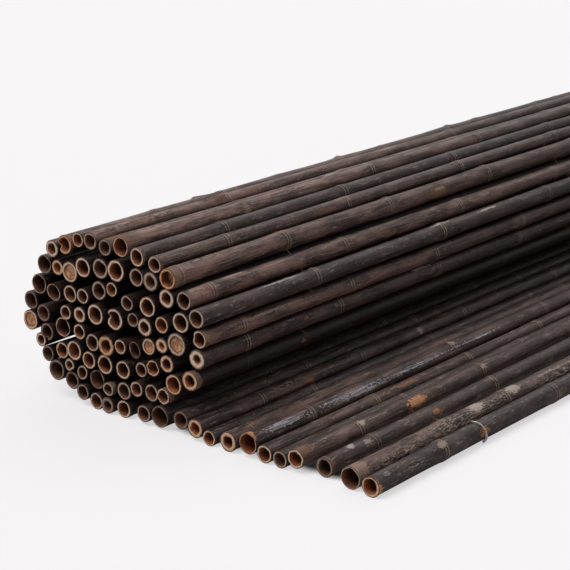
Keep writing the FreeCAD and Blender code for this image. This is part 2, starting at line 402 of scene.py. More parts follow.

# %% [markdown]
# ## Marks that the years left, and painted highlights
# Here and there the skin has come off in a ragged patch, tan or rusty, and a few
# patches are painted bluish highlights. Some ends were torn by the saw or squeezed,
# and buds stand on a few knots. A painted picture could carry such marks, but only
# on one side. They are listed instead by cane, with the millimetres from its cut end
# and the side in degrees, where 90 is the top.

# %% Patches, torn ends and buds
# Cane: (from, to, side, half width, tone). Tone 0 is rust orange, 0.4 brown wood,
# 0.6 tan, 0.85 pale and 1 a painted bluish highlight.
PATCHES = {
    0: ((-8, 8, -12, 64, 0.05), (18, 30, 62, 16, 0.95), (128, 147, 62, 22, 0.66),
        (214, 236, 14, 30, 0.22)),
    1: ((-9, 26, 60, 300, 0.58), (247, 277, 80, 38, 0.86), (332, 364, 80, 36, 0.8),
        (380, 520, 66, 7, 0.62)),
    2: ((-6, 6, 60, 120, 0.42), (42, 58, 84, 24, 0.9), (214, 234, 40, 20, 0.2), (72, 86, 60, 22, 0.7)),
    3: ((-8, 26, 80, 60, 0.44), (220, 262, 40, 40, 0.08), (395, 410, 60, 18, 0.66),
        (120, 134, 70, 20, 0.8)),
    5: ((236, 330, 72, 12, 0.34), (250, 320, 50, 6, 0.3), (450, 640, 92, 6, 0.95)),
    6: ((12, 112, 62, 13, 1.0), (30, 108, 42, 4, 0.95), (120, 270, 50, 12, 1.0),
        (250, 434, 42, 11, 1.0), (150, 300, 30, 5, 0.95), (440, 560, 40, 6, 0.95),
        (434, 450, 80, 18, 0.65), (-4, 8, 100, 60, 0.1)),
    9: ((208, 230, 30, 18, 0.3), (474, 488, 40, 24, 0.8)),
    26: ((-6, 10, 60, 90, 0.3),),
    27: ((30, 150, 96, 10, 0.7), (420, 520, 90, 9, 0.7)),
    28: ((236, 262, 66, 30, 0.4), (60, 116, 60, 16, 0.6), (300, 350, 60, 18, 0.55),
         (600, 690, 84, 10, 0.7)),
    29: ((-4, 52, 84, 42, 0.46), (253, 266, 40, 60, 0.36), (96, 106, 50, 16, 0.9),
         (300, 370, 60, 16, 0.55), (450, 480, 70, 16, 0.8)),
    30: ((-4, 12, 60, 120, 0.44), (227, 240, 22, 44, 0.62), (330, 420, 76, 12, 0.66)),
    31: ((-6, 6, 0, 90, 0.5),),
    32: ((-4, 6, -30, 60, 0.35), (300, 370, 20, 22, 0.4)),
    33: ((-6, 15, 60, 300, 0.5), (550, 606, 10, 40, 0.38), (560, 600, 30, 12, 0.7)),
    34: ((4, 38, 84, 30, 0.6), (62, 120, 84, 14, 0.68)),
    35: ((124, 206, 80, 9, 0.9), (500, 556, 80, 9, 0.9), (620, 680, 72, 7, 0.85)),
    36: ((196, 300, 0, 10, 0.5), (290, 352, -14, 9, 0.3), (60, 200, 40, 5, 0.7), (-5, 12, 60, 90, 0.6)),
    37: ((200, 210, 20, 12, 0.26), (440, 510, 60, 8, 0.8)),
    38: ((208, 218, 4, 12, 0.26), (-4, 10, 0, 100, 0.5)),
    40: ((-4, 12, 0, 160, 0.45),),
    44: ((-4, 8, 0, 160, 0.5),),
}
# Cane: (from, to, side, half width) of bark left on in rough flakes.
ROUGH_BARK = {
    0: ((60, 90, 30, 16),),
    1: ((30, 160, 10, 36), (140, 246, 40, 66), (284, 322, 50, 30), (400, 520, 30, 24)),
    9: ((150, 200, 60, 16),),
    28: ((24, 150, 84, 36),),
    29: ((60, 120, 70, 16), (170, 230, 80, 20)),
    33: ((20, 130, 88, 26),),
}
# Cane: (kind, how much, side). Splits and frays are in millimetres, dents and
# squeezes in shares of the radius.
TORN_ENDS = {
    26: ("split", 6.0, 200), 87: ("split", 7.0, 178), 49: ("split", 6.0, 250),
    36: ("dent", 0.24, 172), 75: ("dent", 0.2, 60), 47: ("dent", 0.22, 300), 22: ("dent", 0.16, 20),
    51: ("squeeze", 0.16, 70), 80: ("squeeze", 0.18, 30), 46: ("squeeze", 0.14, 150),
    31: ("squeeze", 0.08, 10), 62: ("fray", 2.4, 0), 33: ("fray", 2.0, 0), 63: ("fray", 3.0, 0),
    40: ("fray", 1.8, 0), 44: ("fray", 2.0, 0), 82: ("fray", 1.8, 0), 56: ("fray", 1.6, 0),
    3: ("fray", 2.0, 0), 38: ("fray", 1.6, 0),
}
# Cane: how far its end is swollen, in millimetres, where it was cut next to a knot.
SWOLLEN_ENDS = {18: 2.4, 19: 1.2, 20: 0.5, 21: 1.3, 22: 1.2, 53: 0.6, 61: 0.6}
SWOLLEN_LENGTH = 60.0
# Cane: (along, side, height) of a bud in millimetres.
BUDS = {
    2: ((94, 96, 0.9),), 3: ((397, 100, 1.0),), 6: ((435, 98, 0.9),), 8: ((480, 84, 0.9),),
    27: ((232, 118, 4.4), (557, 116, 3.0), (847, 116, 3.0)),
    28: ((245, 72, 2.4), (816, 114, 1.8), (1088, 118, 3.0)),
    29: ((256, 62, 1.2),),
    30: ((232, 70, 1.0), (522, 60, 0.8)),
    33: ((458, 96, 1.0), (714, 90, 0.9)),
    34: ((319, 92, 0.9), (600, 88, 1.0)),
    35: ((230, 96, 0.8), (525, 92, 0.9)),
}
print("patches", sum(len(marks) for marks in PATCHES.values()), "torn ends", len(TORN_ENDS))

# %% [markdown]
# ## The shape of one cane
# A cylinder would have no knots and no wall at its ends. But a cane is round all the
# way, so half its outline makes it in one spin: from the knot wall inside the front
# end along the bore, round the rim, over every knot and into the far end. Each point
# also keeps how pale it is and how far it lies across the wall.

# %% The outline that is spun
# In shares of the CAD cane's radius: the skin, a knot's ridge, and how much
# narrower the cane is between two knots.
SKIN = 0.975
RIDGE = 1.04
WAIST = (0.015, 0.045)
KNOT_HEIGHTS = (0.6, 1.0)
KNOT_PALENESS = (0.45, 1.0)
# In millimetres along a cane: the least step and the most steps in a mark, the room
# to the next point, how far a point looks for the skin's height, and the bare ends.
MARK_STEP = 3.0
MARK_STEPS = 16
MARK_ROOM = 1.2
MARK_REACH = 60
END_ROOM = 4
# How much wider the round bore is than the corners of the five-sided CAD bore.
BORE_ROUND = 1.08
WIDEST_BORE = 0.88
LINING = 0.97
RIM_ROUNDING = 0.5 * MM
RIM_END = 2 * MM
PLUG_DEPTH = 1.5 * MM
WIRE_Y = [sum(c.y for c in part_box("wire_" + str(row))) / 2 for row in (1, 2, 3)]
# Along a knot, from the front: place in mm, how far out from skin to ridge, and
# how pale. Below nought is painted shade beside the ridges.
KNOT_OUTLINE = (
    (-16, -0.2, 0.0), (-5, 0.2, 0.0), (-2.4, 0.5, -0.7), (-1.2, 0.95, 1.0), (0.2, 0.85, 0.9),
    (1.0, 0.15, -1.0), (2.4, 0.6, -0.5), (3.8, 1.0, 0.9), (5.2, 0.9, 0.6), (7.0, 0.6, -0.2),
    (18, -0.1, 0.0),
)
# Points beside a wire hole in millimetres, and in a bore as shares of its depth.
HOLE_OUTLINE = (-9, -3, 3, 9)
BORE_STEPS = (0.5, 0.1)


def skin_points(cane, number, skin, dice):
    """The outline along the skin: knots, waists between them, wire holes, patches."""
    places = [0.0] + [knot / MM for knot in cane.knots] + [(cane.back - cane.front) / MM]
    points = []
    for place in places[1:-1]:
        height = dice.uniform(*KNOT_HEIGHTS)
        paleness = dice.uniform(*KNOT_PALENESS)
        points += [(place + step, skin + (cane.radius * RIDGE - skin) * out * height, pale * paleness)
                   for step, out, pale in KNOT_OUTLINE]
    for before, after in zip(places, places[1:]):
        narrow = skin * (1 - dice.uniform(*WAIST))
        points += [(before + (after - before) * share, narrow, 0.0) for share in (0.25, 0.5, 0.75)]
    extra = [(y - cane.front) / MM + step for y in WIRE_Y for step in HOLE_OUTLINE]
    for start, end, *_ in PATCHES.get(number, ()) + ROUGH_BARK.get(number, ()):
        step = max(MARK_STEP, (end - start) / MARK_STEPS)
        extra += [start + step * k for k in range(-1, int((end - start) / step) + 2)]
    for place in sorted(extra):
        if all(abs(place - point[0]) > MARK_ROOM for point in points):
            near = [point for point in points if abs(point[0] - place) < MARK_REACH]
            radius = min(near, key=lambda point: abs(point[0] - place))[1] if near else skin
            points.append((place, radius, 0.0))
    length = places[-1]
    return [(radius, cane.front + place * MM, pale)
            for place, radius, pale in sorted(points) if END_ROOM < place < length - END_ROOM]


def outline_of(cane, number, dice):
    """Half the cane's outline: (from the middle, along, paleness, across the wall)."""
    skin = cane.radius * SKIN
    bore = min(cane.bore * BORE_ROUND, skin * WIDEST_BORE)
    rounding = min(RIM_ROUNDING, (skin - bore) / 4)
    cane.bore_edge = bore
    walls = []
    for closed, end, knot, inward in (
        (cane.closed, cane.front, cane.knots[0], 1),
        (cane.closed_behind, cane.back, cane.knots[-1], -1),
    ):
        wall = end + PLUG_DEPTH * inward if closed else cane.front + knot
        steps = () if closed else BORE_STEPS
        points = [(0.0, wall, 0.0), (bore * LINING, wall, 0.0)]
        points += [(bore, end + (wall - end) * step, 0.0) for step in steps]
        points += [
            (bore, end + rounding * inward, 0.0), (bore + rounding, end, 0.1),
            ((bore + skin) / 2, end, 0.5), (skin - rounding, end, 0.9),
            (skin, end + rounding * inward, 1.0), (skin, end + RIM_END * inward, 1.0),
        ]
        walls.append([(radius, y, 0.0, across) for radius, y, across in points])
    along = [point + (1.0,) for point in skin_points(cane, number, skin, dice)]
    return walls[0] + along + walls[1][::-1]


print("first cane's outline", len(outline_of(strip[0], 0, random.Random(0))), "points")

# %% [markdown]
# ## Turning the outline into a cane
# Spinning is what a lathe would do, and it keeps the marks on the points. Which
# finish a face gets follows from where it lies across the wall.

# %% Spinning
SIDES = 26
SAME_POINT = 0.001 * MM
SKIN_FACES, CUT_FACES, BORE_FACES, WALL_FACES = range(4)


def spun(cane, number, dice):
    """One cane as a bmesh, with its paleness and its wall stored on its points."""
    shape = bmesh.new()
    pale = shape.verts.layers.float.new("pale")
    across = shape.verts.layers.float.new("across_wall")
    points = []
    for radius, y, paleness, part in outline_of(cane, number, dice):
        point = shape.verts.new((cane.x + radius, y, cane.z))
        point[pale] = paleness
        point[across] = part
        points.append(point)
    lines = [shape.edges.new(pair) for pair in zip(points, points[1:])]
    bmesh.ops.spin(shape, geom=points + lines, cent=(cane.x, 0, cane.z), axis=(0, 1, 0),
                   angle=math.tau, steps=SIDES, use_merge=True)
    bmesh.ops.remove_doubles(shape, verts=shape.verts, dist=SAME_POINT)
    bmesh.ops.recalc_face_normals(shape, faces=shape.faces)
    return shape


def name_faces(shape, cane):
    """Gives each face the finish of the surface that it is part of."""
    across = shape.verts.layers.float["across_wall"]
    for face in shape.faces:
        face.smooth = True
        parts = [vert[across] for vert in face.verts]
        if min(parts) > 0.99:
            face.material_index = SKIN_FACES
        elif max(parts) > 0.01:
            face.material_index = CUT_FACES
        elif abs(face.normal.y) > 0.7:
            face.material_index = WALL_FACES
        else:
            face.material_index = BORE_FACES


print("a cane has", SIDES, "sides")

# %% [markdown]
# ## No two canes alike
# The spun shape is too perfect. Real canes are a little oval, turn by a hair at
# each knot, and are sawn roughly, so their rims are uneven. Sculpting ninety canes
# would take days. Here rules and noise move each point a little, and none leaves the
# CAD model's box.

# %% Torn ends and buds in the shape
TEAR_DEPTH = 32 * MM
DENT_WIDTH = 0.5
SPLIT_WIDTH = 0.3
FRAY_FALL = 4
# A bud stands just behind its knot's scar. Its width is in radians.
BUD_BEHIND = 3
BUD_LENGTH = 7.0
BUD_WIDTH = 0.4


def bell(angle, side, width):
    """One at a side of the cane, and falling off smoothly round it."""
    turn = (angle - side + math.pi) % math.tau - math.pi
    return math.exp(-(turn / width) ** 2)


def torn(number, angle, depth, grain):
    """How a torn end changes a point: a share of its radius, and a push inwards."""
    kind, much, side = TORN_ENDS.get(number, ("", 0.0, 0.0))
    fade = max(0.0, 1 - depth / TEAR_DEPTH)
    side = math.radians(side)
    if kind == "dent":
        return 1 - much * bell(angle, side, DENT_WIDTH) * fade ** 0.5, 0.0
    if kind == "squeeze":
        return 1 - much * abs(math.cos(angle - side)) ** 2 * fade ** 0.5, 0.0
    if kind == "split":
        return 1.0, much * MM * bell(angle, side, SPLIT_WIDTH) * fade
    if kind == "fray":
        return 1.0, much * MM * abs(grain) * fade ** FRAY_FALL
    return 1.0, 0.0


def budded(number, angle, depth):
    """How far a bud on a knot lifts a point of the skin."""
    return sum(height * MM * bell(angle, math.radians(side), BUD_WIDTH)
               * math.exp(-((depth / MM - place - BUD_BEHIND) / BUD_LENGTH) ** 2)
               for place, side, height in BUDS.get(number, ()))


print("buds on", len(BUDS), "canes, torn ends reach", round(TEAR_DEPTH / MM), "mm in")

# %% Loosening
KNOT_KINK = 0.6 * MM
OVAL = 0.02
RIM_ROUGHNESS = 0.9 * MM
RIM_DEPTH = 1.5 * MM
UNEVEN_BORE = 0.16
# How fine each noise is, and how far off the next cane reads it.
FIBRE_GRAIN, FIBRE_SHIFT = 4.0, 6.8
BORE_GRAIN, BORE_SHIFT, BORE_START = 1.3, 2.3, 0.4
RIM_GRAIN = 300.0
# Shares that tell a point of the bore, the rim and the skin from the rest.
IN_BORE = 1.1
ON_RIM = 0.98
ON_SKIN = 0.9


def ring_noise(angle, size, shift):
    """Noise that runs smoothly once round a cane."""
    return noise.noise(Vector((math.cos(angle) * size, math.sin(angle) * size, shift)))


def loosened(shape, cane, number, dice):
    """Moves a spun cane's points a little, so that it isn't perfect."""
    bends = [cane.front] + [cane.front + knot for knot in cane.knots] + [cane.back]
    kinks = [Vector((dice.uniform(-1, 1), 0, dice.uniform(-1, 1))) * KNOT_KINK for _ in bends]
    oval = dice.uniform(0, OVAL)
    oval_at = dice.uniform(0, math.pi)
    low, high = cad_box
    for vert in shape.verts:
        y = vert.co.y
        k = max(i for i, bend in enumerate(bends[:-1]) if bend <= y + 1e-6 or i == 0)
        share = min(max((y - bends[k]) / (bends[k + 1] - bends[k]), 0.0), 1.0)
        out = Vector((vert.co.x - cane.x, 0, vert.co.z - cane.z))
        angle = math.atan2(out.z, out.x)
        depth = y - cane.front
        grain = ring_noise(angle, FIBRE_GRAIN, number * FIBRE_SHIFT)
        narrower, push = torn(number, angle, depth, grain)
        if out.length < cane.bore_edge * IN_BORE:
            shift = number * BORE_SHIFT + BORE_START
            narrower *= 1 + UNEVEN_BORE * ring_noise(angle, BORE_GRAIN, shift)
        squeeze = narrower * (1 - oval * (0.5 - 0.5 * math.cos(2 * (angle - oval_at))))
        rim = max(0.0, 1 - min(depth, cane.back - y) / RIM_DEPTH)
        outside = out.length > cane.bore_edge * ON_RIM
        rough = abs(noise.noise(vert.co * RIM_GRAIN)) * RIM_ROUGHNESS * rim if outside else 0.0
        lift = budded(number, angle, depth) if out.length > cane.radius * ON_SKIN else 0.0
        if outside:
            lift += SWOLLEN_ENDS.get(number, 0.0) * MM * max(0.0, 1 - depth / MM / SWOLLEN_LENGTH)
        moved = Vector((cane.x, y + (push + rough if y < 0 else -rough), cane.z))
        moved += out * squeeze + out.normalized() * lift + kinks[k].lerp(kinks[k + 1], share)
        vert.co = Vector(min(max(value, a), b) for value, a, b in zip(moved, low, high))


print("a cane turns by up to", round(KNOT_KINK / MM, 1), "mm at a knot")

# %% [markdown]
# ## What the finishes read
# A finish can't know where a wire hole or a neighbour is. Images could carry that,
# but ninety canes would need ninety. So each point keeps it: its cane's tint, how
# far it is from the cut end, how much painted shade a close neighbour, the floor or
# the roll's inside gives it, how close a wire hole is, how deep in the bore it lies,
# and which patches cover it.

# %% The look of each cane
# From grey through brown to red. Canes that aren't listed get one by chance.
TINTS = {
    0: 0.12, 1: 0.62, 2: 0.2, 3: 0.5, 4: 0.3, 5: 0.45, 6: 0.55, 7: 0.6, 8: 0.2, 9: 0.5, 10: 0.3,
    27: 0.95, 28: 0.95, 29: 1.05, 30: 1.1, 31: 0.2, 32: 0.6, 33: 0.8, 34: 0.95, 35: 0.2, 36: 0.8,
    37: 0.3, 38: 0.3, 11: 0.2, 12: 0.15, 13: 0.2,
}
CHANCE_TINTS = (0.05, 0.8)
# The skin darkens from the cut ends, more and more up to this many millimetres.
DARKENING_LENGTH = 1000.0
# Sawn ends by their look. Those that aren't listed are pale.
END_LOOKS = {
    0.06: (2, 10, 11, 14, 16, 17, 18, 19, 22, 24, 29, 45, 49, 50),
    0.28: (1, 4, 12, 15, 23, 28, 34, 35, 41, 43, 44, 46, 47, 51, 55, 57, 58, 61, 64, 73, 75,
           80, 83, 88),
    0.72: (0, 6, 7, 9, 21, 27, 30, 38, 39, 48, 52, 62, 63, 77, 78, 79, 81),
    0.92: (26, 33, 82),
}
PALE_END = 0.5
END_SPREAD = 0.07


def end_look(number, dice):
    """How a sawn end looks, from dark through grey and pale to tan and orange."""
    looks = [look for look, listed in END_LOOKS.items() if number in listed] + [PALE_END]
    return looks[0] + dice.uniform(-END_SPREAD, END_SPREAD)


print("tints listed", len(TINTS), "ends listed", sum(len(listed) for listed in END_LOOKS.values()))

# %% Painted shade in the gaps and inside the roll
# The first cane that the roll covers, and the last of the outer turn.
FIRST_ROLLED = 14
LAST_OUTER = 37
# The roll's middle, how dark the skin that faces it is, and how fast that shade grows.
ROLL_MIDDLE = Vector((-0.12, 0, 0.12))
INNER_SHADE = 0.8
SHADE_PER_METRE = 10
# How far from a neighbour's skin or the floor the painted shade of a gap reaches.
SHADE_REACH = 7 * MM


def roll_inside_shade(number, cane, out):
    """How much painted shade a point of the skin gets where it faces the roll's inside."""
    if number < FIRST_ROLLED:
        return 0.0
    if number > LAST_OUTER:
        return INNER_SHADE
    inwards = out.dot(ROLL_MIDDLE - cane.middle)
    return INNER_SHADE * min(1.0, max(0.0, 0.5 + inwards * SHADE_PER_METRE))


def closeness_shade(cane, out):
    """Painted shade from how close another cane's skin, or the floor, is to a point of this skin."""
    place = cane.middle + out * cane.radius
    room = [(place - other.middle).length - other.radius for other in cane.neighbours]
    return max(0.0, 1 - min(room + [place.z]) / SHADE_REACH)


for cane in strip:
    cane.neighbours = [other for other in strip if other is not cane and math.hypot(
        other.x - cane.x, other.z - cane.z) < other.radius + cane.radius + SHADE_REACH]
near_canes = [len(cane.neighbours) for cane in strip]
print("neighbours of a cane", min(near_canes), "to", max(near_canes))

# %% Marking
# How far along the noises a cane may read them, in metres.
CLOUD_SHIFTS = (5, 60)
# Torn wood round a wire hole: its reach, how closely it keeps to the hole, its strength.
HOLE_REACH = 10 * MM
HOLE_NARROWNESS = 6
HOLE_STRENGTHS = (0.4, 1.0)
# The light reaches deep into the tail's open ends, but hardly into the roll's.
TAIL_BORE_SHADE_DEPTH = 34 * MM
ROLL_BORE_SHADE_DEPTH = 11 * MM
MARKS = (
    "tint", "far_from_cut", "end_tone", "painted_gap_shade", "hole", "bore_depth", "patch", "patch_tone", "bark",
)


def covered(place, angle, start, end, side, half_width):
    """How much an oval mark covers a point: half at its edge, more within."""
    off_along = abs(place - (start + end) / 2) / ((end - start) / 2)
    off_round = abs((angle - side + 180) % 360 - 180) / half_width
    return max(0.0, 1.5 - math.hypot(off_along, off_round))


def patch_at(number, place, angle):
    """How much a patch covers a point, and its tone."""
    found = [(covered(place, angle, *oval), tone) for *oval, tone in PATCHES.get(number, ())]
    return max(found, default=(0.0, 0.0))


def marked(shape, cane, number, dice):
    """Stores on a cane's points what its finishes read."""
    tint, far_from_cut, end_tone, painted_gap_shade, hole, deep, patch, tone, bark = (
        shape.verts.layers.float.new(name) for name in MARKS)
    middle = shape.verts.layers.float_vector.new("cane_middle")
    cane_tint = TINTS.get(number, dice.uniform(*CHANCE_TINTS))
    cane_end = end_look(number, dice)
    here = Vector((cane.x, dice.uniform(*CLOUD_SHIFTS), cane.z))
    ways = [(other.middle - cane.middle).normalized()
            for other in strip[max(number - 1, 0):number + 2] if other is not cane]
    ways += [Vector((1, 0, 0))] if number == 0 else []
    hole_strength = dice.uniform(*HOLE_STRENGTHS)
    shade_depth = TAIL_BORE_SHADE_DEPTH if number < FIRST_ROLLED else ROLL_BORE_SHADE_DEPTH
    shade_by_angle = {}
    for vert in shape.verts:
        out = Vector((vert.co.x - cane.x, 0, vert.co.z - cane.z))
        angle = math.degrees(math.atan2(out.z, out.x))
        if round(angle) not in shade_by_angle:
            side = out.normalized()
            shade_by_angle[round(angle)] = max(closeness_shade(cane, side), roll_inside_shade(number, cane, side))
        place = (vert.co.y - cane.front) / MM
        near = min(abs(vert.co.y - y) for y in WIRE_Y)
        facing = max(out.normalized().dot(way) for way in ways)
        vert[middle] = here
        vert[tint] = cane_tint
        vert[far_from_cut] = min(1.0, max(0.0, place / DARKENING_LENGTH))
        vert[end_tone] = cane_end
        # Painted shade where a neighbour, the floor or the roll's inside is close.
        vert[painted_gap_shade] = shade_by_angle[round(angle)]
        close = max(0.0, 1 - near / HOLE_REACH)
        vert[hole] = max(0.0, facing) ** HOLE_NARROWNESS * close * hole_strength
        vert[deep] = min(1.0, min(vert.co.y - cane.front, cane.back - vert.co.y) / shade_depth)
        vert[patch], vert[tone] = patch_at(number, place, angle)
        rough = [covered(place, angle, *oval) for oval in ROUGH_BARK.get(number, ())]
        vert[bark] = min(1.0, max(rough, default=0.0))


print("each point keeps", len(MARKS), "marks and its cane's middle")

# %% [markdown]
# ## The five bundles
# The CAD model keeps the tail, three turns and the core each in a node of its own,
# and so does this scene: every cane is made by itself and joined to its bundle.

# %% Canes by the bundle
CANE_SEED = 500


def cane_piece(node, start):
    """All canes of a CAD node as one object, in place of that node."""
    joined = bmesh.new()
    for number, cane in enumerate(canes[node], start):
        dice = random.Random(CANE_SEED + number)
        shape = spun(cane, number, dice)
        name_faces(shape, cane)
        marked(shape, cane, number, dice)
        loosened(shape, cane, number, dice)
        part = bpy.data.meshes.new("cane")
        shape.to_mesh(part)
        shape.free()
        joined.from_mesh(part)
        bpy.data.meshes.remove(part)
    piece = new_piece("jointed_" + node, joined)
    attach(piece, "root")
    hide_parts(node)
    return piece


cane_pieces = []
start = 0
for node in CANE_NODES:
    piece = cane_piece(node, start)
    start += len(canes[node])
    cane_pieces.append(piece)
    piece.data.calc_loop_triangles()
    print(piece.name, len(piece.data.loop_triangles), "triangles")

# %% [markdown]
# ## The dark skin
# The canes were steamed until their skin went brown-black. One colour would look
# like plastic, so the skin is built up in coats: a tint for each cane from grey
# through brown to red, a darker stain further from the cut ends, wide blotches where
# the wax wore off, fine fibres along the cane, and pale specks. Every cane reads the
# same clouds from another place, so no mark comes twice.

# %% The skin's clouds and its stain
def skin_clouds(skin):
    """The noises that the coats share."""
    place = skin.on_cane()
    return SimpleNamespace(
        hue=skin.cloud(place, (26, 5, 26), 2.0),
        blotch=skin.cloud(place, (75, 16, 75), 5.0, 0.66),
        fibre=skin.cloud(place, (900, 16, 900), 3.0, 0.65),
        wrinkle=skin.cloud(place, (60, 420, 60), 3.0, 0.6),
        speck=skin.cloud(place, (420, 170, 420), 3.0, 0.65),
        scuff=skin.cloud(place, (190, 40, 190), 5.0, 0.75),
        crumble=skin.cloud(place, (260, 260, 260), 2.0),
        crackle=skin.cloud(place, (480, 120, 480), 4.0, 0.72),
    )


def stained(skin, clouds, handled):
    """The stain with its blotches, fibres, wrinkles and specks."""
    tint = skin.sums("SUBTRACT", skin.stored("tint"), 0.55)
    tint = skin.sums("MULTIPLY_ADD", clouds.hue, 1.1, tint)
    colour = skin.ramp(tint, (0.0, shade(66, 59, 62)), (0.28, shade(83, 66, 63)),
                       (0.6, shade(109, 82, 76)), (1.0, shade(152, 113, 102)))
    # Darker further from the cut ends.
    colour = skin.coat(colour, skin.stored("far_from_cut"), 0.8, shade(46, 33, 30))
    colour = skin.coat(colour, skin.mask(clouds.blotch, 0.38, 0.62), 0.88, shade(42, 30, 27))
    streaky = skin.sums("MULTIPLY_ADD", skin.mask(skin.stored("tint"), 0.0, 0.8), 0.75, 0.3)
    streaky = skin.times(streaky, handled)
    light_fibres = skin.times(skin.mask(clouds.fibre, 0.5, 0.72), streaky)
    colour = skin.coat(colour, light_fibres, 0.6, shade(146, 126, 118))
    dark_fibres = skin.times(skin.mask(clouds.fibre, 0.5, 0.28), streaky)
    colour = skin.coat(colour, dark_fibres, 0.8, shade(24, 17, 16))
    colour = skin.coat(colour, skin.mask(clouds.wrinkle, 0.6, 0.7), 0.55, shade(26, 19, 17))
    specks = skin.times(skin.mask(clouds.speck, 0.62, 0.7), handled)
    return skin.coat(colour, specks, 0.5, shade(164, 146, 134))


# %% [markdown]
# ## Scars, bark and painted shade
# Pale scars mark the knots, with painted shade beside them. Flakes of bark are left
# on some canes, painted shade darkens the gaps, and the wood is torn orange round the
# wire holes. Each could be a mesh of its own. As coats they need no faces, and the points know where
# they belong.

# %% Scars, bark and painted shade
def scarred(skin, clouds, colour):
    """Pale scars on the knots, and painted shade in the dark lines beside them."""
    pale = skin.stored("pale")
    scar = skin.times(skin.sums("MAXIMUM", pale, 0.0), skin.mask(clouds.crumble, 0.3, 0.55))
    colour = skin.coat(colour, scar, 0.85, shade(166, 144, 126))
    # Painted shade in the creases beside the knot's ridges.
    shadow = skin.sums("MAXIMUM", skin.times(pale, -1.0), 0.0)
    return skin.coat(colour, shadow, 0.85, shade(20, 15, 13))


def barked(skin, clouds, colour, flakes):
    """Pale flakes of bark with dark cracks between them."""
    cracks = skin.times(skin.stored("bark"), skin.mask(clouds.crackle, 0.46, 0.4))
    colour = skin.coat(colour, flakes, 0.9, shade(180, 160, 144))
    return skin.coat(colour, cracks, 0.9, shade(26, 18, 17))


def gap_shaded_and_torn(skin, clouds, colour):
    """Painted shade where a neighbour, the floor or the roll's inside is close, and torn wood round the
    wire holes.
    """
    gap_shade_mask = skin.mask(skin.stored("painted_gap_shade"), 0.1, 0.95)
    # A dark brown painted shade in the gaps between canes.
    colour = skin.coat(colour, gap_shade_mask, 0.85, shade(28, 16, 11))
    torn_wood = skin.times(skin.stored("hole"), skin.mask(clouds.speck, 0.35, 0.6))
    return skin.mix(skin.mask(torn_wood, 0.14, 0.5), colour, shade(160, 98, 56))


# %% [markdown]
# ## Bare patches
# Where the skin has come off, bare wood shows. A clean oval would look like a
# sticker, so noise frays its edge along the fibres. The bluish tone is a painted
# highlight, in thin lines only, where the skin keeps its gloss.

# %% Bare patches
def bare_wood_or_highlight(skin, clouds):
    """How bare each point is or how much painted highlight it has, and the colour of the wood or the
    highlight.
    """
    patch, tone, fibre = skin.stored("patch"), skin.stored("patch_tone"), clouds.fibre
    ragged = skin.sums("MULTIPLY_ADD", fibre, 1.6, -2.1)
    ragged = skin.sums("MULTIPLY_ADD", clouds.speck, 2.6, ragged)
    bare_or_highlight = skin.mask(skin.sums("ADD", patch, ragged), 0.5, 0.62)
    bare_or_highlight = skin.times(bare_or_highlight, skin.mask(patch, 0.02, 0.2))
    # Tones near 1 are a painted bluish highlight, kept to thin lines.
    painted_highlight = skin.mask(tone, 0.88, 0.98)
    lines = skin.times(skin.mask(fibre, 0.56, 0.44), 0.9)
    bare_or_highlight = skin.times(bare_or_highlight, skin.sums("MAXIMUM", lines, skin.sums("SUBTRACT", 1.0, painted_highlight)))
    dull = skin.sums("SUBTRACT", skin.mask(tone, 0.6, 0.7), painted_highlight)
    bare_or_highlight = skin.times(bare_or_highlight, skin.sums("MULTIPLY_ADD", dull, -0.2, 1.0))
    # The last stop is the painted bluish highlight.
    wood_or_highlight = skin.ramp(tone, (0.0, shade(226, 164, 122)), (0.2, shade(176, 124, 90)),
                     (0.4, shade(122, 92, 78)), (0.6, shade(150, 126, 112)),
                     (0.85, shade(194, 180, 169)), (1.0, shade(178, 176, 188)))
    grained = skin.sums("MULTIPLY_ADD", dull, -0.45, 0.7)
    grained = skin.times(skin.mask(fibre, 0.46, 0.64), grained)
    return bare_or_highlight, skin.mix(grained, wood_or_highlight, shade(84, 60, 48))


# %% [markdown]
# ## The whole skin
# The coats go on in the order in which the years laid them, and the painted shade of
# the gaps goes on before the bare wood. Their masks also make scuffs, flakes and bare
# wood dull, raise the flakes and sink the patches.

# %% The whole skin
def cane_skin():
    skin = Finish("cane_skin")
    clouds = skin_clouds(skin)
    handled = skin.sums("MULTIPLY_ADD", skin.stored("far_from_cut"), -0.8, 1.2)
    scuffs = skin.times(skin.times(skin.mask(clouds.scuff, 0.57, 0.65), handled), 0.7)
    flakes = skin.times(skin.stored("bark"), skin.mask(clouds.crackle, 0.5, 0.56))
    bare_or_highlight, wood_or_highlight = bare_wood_or_highlight(skin, clouds)

    colour = skin.mix(scuffs, stained(skin, clouds, handled), shade(152, 132, 120))
    colour = scarred(skin, clouds, colour)
    colour = barked(skin, clouds, colour, flakes)
    # Painted shade in the gaps, and torn wood round the wire holes.
    colour = gap_shaded_and_torn(skin, clouds, colour)
    colour = skin.mix(bare_or_highlight, colour, wood_or_highlight)

    roughness = skin.sums("MULTIPLY_ADD", clouds.blotch, 0.45, 0.2)
    dull_wood = skin.mask(skin.stored("patch_tone"), 1.02, 0.9)
    for mask, rough in ((scuffs, 1.2), (flakes, 0.8), (bare_or_highlight, dull_wood)):
        roughness = skin.sums("MAXIMUM", roughness, skin.times(mask, rough))
    skin.shader.inputs["Specular IOR Level"].default_value = 0.34

    height = skin.sums("MULTIPLY_ADD", clouds.fibre, 0.5, skin.times(clouds.scuff, 0.6))
    height = skin.sums("SUBTRACT", height, skin.times(bare_or_highlight, 0.6))
    height = skin.sums("ADD", height, skin.times(flakes, 1.4))
    return skin.finish(colour, roughness, height, 0.5 * MM)


